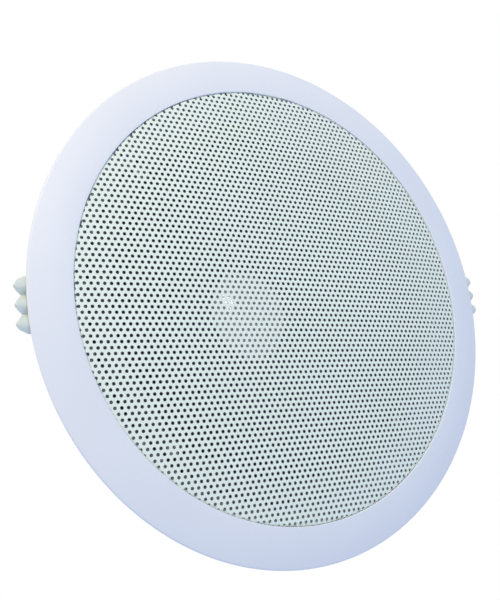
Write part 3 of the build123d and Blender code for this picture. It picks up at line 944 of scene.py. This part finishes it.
screw_front, screw_back = levels("driver_screws")
head_r = 3.6
head_rise = 1.1
shank_r = 2.0
thread_depth = 0.35
thread_step = 0.55
thread_start = basket_z + 0.6
point_r = 0.7
recess_long, recess_wide, recess_depth = 2.0, 0.45, 1.4
screw_outline = [(0, screw_front)]
screw_outline += [(head_r * math.sin(t), screw_front + head_rise * (1 - math.cos(t)))
                  for t in (math.pi / 2 * i / 6 for i in range(1, 7))]
screw_outline += [(head_r, basket_z), (shank_r, basket_z)]
screw_outline += [(shank_r - thread_depth * (i % 2), thread_start + thread_step * i) for i in range(14)]
screw_outline += [(point_r, screw_back), (0, screw_back)]
screw = lathe("driver_screws_zinc", screw_outline, steps=32)
for x, y in ((recess_long, recess_wide), (recess_wide, recess_long)):
    recess = prism("recess", rectangle(both_ways(x), both_ways(y)), screw_front - past, screw_front + recess_depth)
    carve(screw, "DIFFERENCE", recess)
dress(at_screws(screw, "screw_zinc"), "housing", "screw_zinc", "driver_screws", crease=40)

# %% [markdown]
# ## Cone, dust cap and voice coil
# The cone is pressed paper with a few shallow rings that stiffen it. A foil dome closes its middle, and behind it
# a film tube carries the copper winding into the magnet's gap. All of it moves as one body.

# %% Cone and dust cap
neck_r = 13.0
cone_front, cone_rear = levels("cone")
cap_crown, cap_rear = levels("dust_cap")
cone_sheet = 0.89
cap_sheet = 0.6
rings_from, rings_to = 32, 54
rings_rise = 0.12
rings_pitch = 5.5
cone_slope = (cone_rear - cone_sheet - cone_front) / (cone_r - neck_r)


def cone_level(radius):
    """Front of the cone at a radius, with shallow stiffening rings over its outer half."""
    level = cone_front + cone_slope * (cone_r - radius)
    if rings_from < radius < rings_to:
        level += rings_rise * math.sin((radius - rings_from) * math.tau / rings_pitch)
    return level


cone_radii = [cone_r + (neck_r - cone_r) * i / 90 for i in range(91)]
cone_outline = [(r, cone_level(r)) for r in cone_radii] + [(r, cone_level(r) + cone_sheet) for r in cone_radii[::-1]]
dress(lathe("cone_pressing", cone_outline, steps=160), "cone_assembly", "cone_paper", "cone")

cap_power = 2.3
cap_rise = cap_rear - cap_sheet - cap_crown
cap_radii = [cap_r * i / 28 for i in range(28, -1, -1)]
cap_front = [(r, cap_crown + cap_rise * (r / cap_r) ** cap_power) for r in cap_radii]
cap_outline = cap_front + [(r * (1 - 0.1 * cap_sheet / cap_r), z + cap_sheet) for r, z in cap_front[::-1]]
dress(lathe("dust_cap_foil", cap_outline, steps=128), "cone_assembly", "cap_foil", "dust_cap")

# %% Former and winding
former_outer = 12.95
former_wall = 0.4
former_front, former_back = levels("voice_coil_former")
coil_front, coil_back = levels("voice_coil_winding")
coil_wall = reach("voice_coil_winding") - former_outer
former_outline = rectangle((former_outer - former_wall, former_outer), (former_front, former_back))
former = lathe("voice_coil_former_film", former_outline)
dress(former, "cone_assembly", "former_film", "voice_coil_former")
coil_turns = 18
coil_inner = former_outer + 0.01
coil_steps = 6 * coil_turns
winding_outline = [(coil_inner, coil_front)]
for i in range(coil_steps + 1):
    swell = abs(math.sin(math.pi * coil_turns * i / coil_steps))
    winding_outline.append((former_outer + coil_wall * (0.6 + 0.4 * swell),
                            coil_front + (coil_back - coil_front) * i / coil_steps))
winding_outline.append((coil_inner, coil_back))
winding = lathe("voice_coil_winding_copper", winding_outline, steps=96)
dress(winding, "cone_assembly", "coil_copper", "voice_coil_winding")

# %% [markdown]
# ## Soft suspension
# The surround is a half roll of foam, and the spider is resin-stiffened cloth with rings pressed into it. Both are
# held outside by the basket and inside by the cone, so they have to bend when the cone moves. Each is turned in
# sectors.

# %% Surround and spider
sectors = 16
sector_steps = 8


def soft_ring(name, line, thickness, slot, node):
    """Turned soft sheet in sectors, between the basket and the cone."""
    outline = sheet(line, thickness)
    span = 360 / sectors
    for i in range(sectors):
        sector = lathe(f"{name}_{i + 1:02d}", outline, sector_steps, span * (i - 0.5), span)
        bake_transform(sector)
        dress(sector, None, slot, node, crease=60)


surround_sheet = 0.6
glued_lap = 1.0
roll_crest, surround_back = levels("surround")
roll_outer = surround_r - 5.0
roll_middle = (cone_r + roll_outer) / 2
roll_start = math.radians(10)
roll_front = surround_back - surround_sheet
roll_rise = (roll_front - roll_crest) / (1 - math.sin(roll_start))
roll_half = (roll_outer - cone_r) / 2 / math.cos(roll_start)
roll_angles = [roll_start + (math.pi - 2 * roll_start) * i / 24 for i in range(25)]
surround_line = [(surround_r, roll_front)]
surround_line += [(roll_middle + roll_half * math.cos(a), roll_crest + roll_rise * (1 - math.sin(a)))
                  for a in roll_angles]
surround_line += [(cone_r - glued_lap, roll_front)]
soft_ring("surround_roll", surround_line, surround_sheet, "surround_foam", "surround")

spider_sheet = 0.5
spider_rings = 4
ring_first, ring_last = 15.0, 31.5
ring_height = 0.8
spider_line = [(spider_seat_r - sheet_steel, spider_z - spider_sheet)]
for t in np.linspace(0, 1, 97):
    wave = math.sin(math.tau * spider_rings * t) * min(1, 8 * t, 8 * (1 - t))
    spider_line.append((ring_last + (ring_first - ring_last) * t, spider_z - spider_sheet - ring_height * wave))
spider_line.append((neck_r, spider_z - spider_sheet))
soft_ring("spider_cloth", spider_line, spider_sheet, "spider_cloth", "spider")

# %% [markdown]
# ## Motor
# Two steel plates hold a ferrite ring, and a pole on the back plate reaches through it into the coil. The steel is
# turned and plated, so its edges are broken by small chamfers, and the brittle ferrite has larger ones.

# %% Plates and magnet
plate_top = levels("top_plate")[1]
magnet_back = levels("magnet")[1]
motor_back = levels("back_plate")[1]
bore_r = 14.0
pole_r = 12.1
plate_r = reach("top_plate")
magnet_r = reach("magnet")
magnet_bore_r = bore_r + 3
groove_outer, groove_inner = 18.0, 8.2
groove_slope = 0.8
groove_depth = 0.5
centre_r, centre_depth = 2.6, 1.4
plate_outline = rectangle((bore_r, plate_r), (plate_z, plate_top), 0.3, 0.6, 0.3, 0.3)
dress(lathe("top_plate_steel", rounded(plate_outline, 3)), "housing", "motor_steel", "top_plate")
ring_outline = rectangle((magnet_bore_r, magnet_r), (plate_top, magnet_back), 0.5, 1.0, 1.0, 0.5)
dress(lathe("magnet_ring", rounded(ring_outline, 3)), "housing", "magnet_ferrite", "magnet")
groove_z = motor_back - groove_depth
yoke_outline = rounded([
    (0, plate_z, 0), (pole_r, plate_z, 0.4), (pole_r, magnet_back, 0.4), (plate_r, magnet_back, 0.3),
    (plate_r, motor_back, 0.9), (groove_outer, motor_back, 0.3), (groove_outer - groove_slope, groove_z, 0.3),
    (groove_inner + groove_slope, groove_z, 0.3), (groove_inner, motor_back, 0.3), (centre_r, motor_back, 0.3),
    (0, motor_back - centre_depth, 0)], 3)
dress(lathe("back_plate_steel", yoke_outline), "housing", "motor_steel", "back_plate")

# %% [markdown]
# ## Terminals
# A fibre board on the basket's lug carries two plated blades. Rivets hold them, and a braided lead runs from each
# blade to the back of the cone with slack for its travel. The leads are drawn as soft lines through a few points.

# %% Board, blades and rivets
board_low, board_high = (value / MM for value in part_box("terminal_board"))
tab_low, tab_high = (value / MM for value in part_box("terminal_tab_right"))
tab_x = (tab_low.x + tab_high.x) / 2
board_plan = rounded(rectangle((board_low.x, board_high.x), (board_low.y, board_high.y), 1.6, 1.6, 1.6, 1.6))
board = eased(prism("terminal_board_fibre", board_plan, board_low.z, board_high.z), width=0.15)
dress(board, "housing", "board_fibre", "terminal_board")
blade_point, blade_taper = 1.5, 1.1
eye_r, eye_in = 0.8, 3.2
rivet_in, rivet_step = 3.0, 5.5
rivet_height = 0.9
rivet_sunk = 0.05


def dome(radius, height, steps=24):
    """Low dome that stands on z = 0."""
    outline = [(radius * math.cos(t), height * math.sin(t)) for t in (math.pi / 2 * i / 6 for i in range(7))]
    return lathe("dome", [(0, 0)] + outline, steps)


def rivets(name, spots, level, radius, slot):
    """Dome heads at a few places on one level, as one piece."""
    heads = [dome(radius, rivet_height) for _ in spots]
    for head, (x, y) in zip(heads, spots):
        head.data.transform(Matrix.Translation((x * MM, y * MM, (level - rivet_sunk) * MM)))
    carve(heads[0], "UNION", *heads[1:])
    heads[0].name = name
    dress(heads[0], "housing", slot, crease=50)


for side, where in hands:
    x = side * tab_x
    half = (tab_high.x - tab_low.x) / 2
    cheek = tab_high.y - blade_point
    blade = [(x - half, tab_low.y, 0.6), (x + half, tab_low.y, 0.6), (x + half, cheek, 0.3),
             (x + half - blade_taper, tab_high.y, 0.3), (x - half + blade_taper, tab_high.y, 0.3),
             (x - half, cheek, 0.3)]
    tab = prism(f"terminal_tab_{where}_blade", rounded(blade, 3), tab_low.z, tab_high.z)
    eye = prism("eye", circle(x, tab_high.y - eye_in, eye_r, 24), tab_low.z - past, tab_high.z + past)
    carve(tab, "DIFFERENCE", eye)
    dress(eased(tab, width=0.12), "housing", "tab_brass", f"terminal_tab_{where}")
    rivets(f"tab_rivet_{where}", [(x, tab_low.y + rivet_in)], tab_high.z, 1.7, "tab_brass")
row = board_low.y + rivet_in
rivets("board_rivets", [(0, row), (0, row + rivet_step)], board_high.z, 1.8, "screw_zinc")

# %% Tinsel leads
lead_r = 0.6
lead_lean, lead_drop = 3.0, 8.5


def softened(points, rounds=4):
    """Corner-cut line that keeps its two ends."""
    points = [Vector(p) for p in points]
    for _ in range(rounds):
        cut = [points[0]]
        for a, b in zip(points, points[1:]):
            cut += [a.lerp(b, 0.25), a.lerp(b, 0.75)]
        points = cut + [points[-1]]
    return points


for side, where in hands:
    lead_low, lead_high = (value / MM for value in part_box(f"tinsel_lead_{where}"))
    outer = max(abs(lead_low.x), abs(lead_high.x)) - lead_r
    top = lead_high.z - lead_r
    on_tab = lead_high.y - lead_r
    landing = lead_low.y + lead_r
    on_cone = cone_level(math.hypot(tab_x, landing)) + cone_sheet + lead_r * math.hypot(1, cone_slope)
    route = [(side * tab_x, on_tab, top), (side * outer, on_tab, top),
             (side * outer, on_tab - lead_lean, top - lead_drop), (side * tab_x, landing, on_cone)]
    lead = wire(f"tinsel_lead_{where}_braid", [tuple(p) for p in softened(route)], lead_r, "lead_braid", 10)
    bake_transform(lead)
    dress(lead, None, "lead_braid", f"tinsel_lead_{where}", crease=60)

# %% [markdown]
# ## Floor, light and background
# The speaker hangs face down, so the floor lies below the camera, out of the picture. It fills the face with light
# that it throws back from the sky, and catches the shadow in views from above. A warm key lamp stands at the
# picture's upper left, and another above lights the back. Where the sky is seen, also in reflections, it is white,
# and the floor runs out into that white, so that no edge shows. Only the rays that see them are changed, so
# neither puts more light on the speaker.

# %% Floor
floor_level = -1.5
floor_half = 7.0
floor_finish = finish("floor_paper", ((0.80, 0.84, 0.90), (0.81, 0.85, 0.91)), 0.9, bump=0.05, fine=400, drift=2)


def seen_rays(tree):
    """Mask of the rays that see a surface: from the camera, in a reflection or through glass."""
    rays = add(tree, "ShaderNodeLightPath").outputs
    seen = maths(tree, "MAXIMUM", rays["Is Camera Ray"], rays["Is Glossy Ray"])
    return maths(tree, "MAXIMUM", seen, rays["Is Transmission Ray"])


def run_out(material, tone, lift, near, far):
    """Shows a floor whose tone evens out the blue sky, keeps the shadow, and runs out to white far from the axis."""
    tree = material.node_tree
    shader = tree.nodes["Principled BSDF"]
    paper = shader.inputs["Base Color"].links[0].from_socket
    seen = seen_rays(tree)
    evened = add(tree, "ShaderNodeMix", {0: seen, 6: paper, 7: (*tone, 1)}, data_type="RGBA")
    tree.links.new(evened.outputs[2], shader.inputs["Base Color"])
    tree.links.new(maths(tree, "MULTIPLY", seen, lift), shader.inputs["Emission Strength"])
    away = axis_distance(tree, add(tree, "ShaderNodeTexCoord").outputs["Object"])
    share = add(tree, "ShaderNodeMapRange", {"Value": away, "From Min": near, "From Max": far},
                interpolation_type="SMOOTHSTEP").outputs["Result"]
    whitened = maths(tree, "MULTIPLY", seen, share)
    white = add(tree, "ShaderNodeEmission", {"Color": (1, 1, 1, 1), "Strength": 1.0}).outputs["Emission"]
    both = add(tree, "ShaderNodeMixShader", {0: whitened, 1: shader.outputs["BSDF"], 2: white})
    tree.links.new(both.outputs["Shader"], tree.nodes["Material Output"].inputs["Surface"])


run_out(floor_finish, tone=(0.93, 0.83, 0.68), lift=0.3, near=1.2, far=5.0)
floor_edge = both_ways(floor_half / MM)
floor_corners = [(x, y, floor_level / MM) for x, y in rectangle(floor_edge, floor_edge)]
ground = mesh_object("floor", floor_corners, [(0, 1, 2, 3)])
ground.data.materials.append(floor_finish)
print("floor at", floor_level, "m")

# %% Sky and lamps
world = bpy.data.worlds.new("studio")
bpy.context.scene.world = world
world.use_nodes = True
sky_tree = world.node_tree
sky = sky_tree.nodes["Background"]
sky.inputs["Color"].default_value = (0.655, 0.77, 1.0, 1)
sky.inputs["Strength"].default_value = 0.85
white = add(sky_tree, "ShaderNodeBackground", {"Color": (1, 1, 1, 1), "Strength": 1.0})
both = add(sky_tree, "ShaderNodeMixShader", {0: seen_rays(sky_tree), 1: sky.outputs["Background"],
                                            2: white.outputs["Background"]})
sky_tree.links.new(both.outputs["Shader"], sky_tree.nodes["World Output"].inputs["Surface"])


def lamp(name, place, watts, width, height, colour):
    """Soft lamp that looks at the speaker and isn't seen itself."""
    light = bpy.data.lights.new(name, "AREA")
    light.energy = watts
    light.shape = "RECTANGLE"
    light.size = width
    light.size_y = height
    light.color = colour
    obj = bpy.data.objects.new(name, light)
    bpy.context.scene.collection.objects.link(obj)
    obj.location = place
    obj.rotation_euler = (-Vector(place)).to_track_quat("-Z", "Y").to_euler()
    obj.visible_camera = False


lamp("key", (-0.63, -0.63, -0.45), 4.4, 0.5, 0.5, (1.0, 0.78, 0.34))
lamp("window", (-0.145, -0.315, -0.615), 0.6, 0.12, 0.26, (1.0, 0.98, 0.95))
lamp("back", (0.3, -0.3, 1.1), 6.0, 0.5, 0.5, (1.0, 0.82, 0.54))
bpy.context.scene.view_settings.view_transform = "Standard"
print("lamps:", [light.name for light in bpy.data.lights])
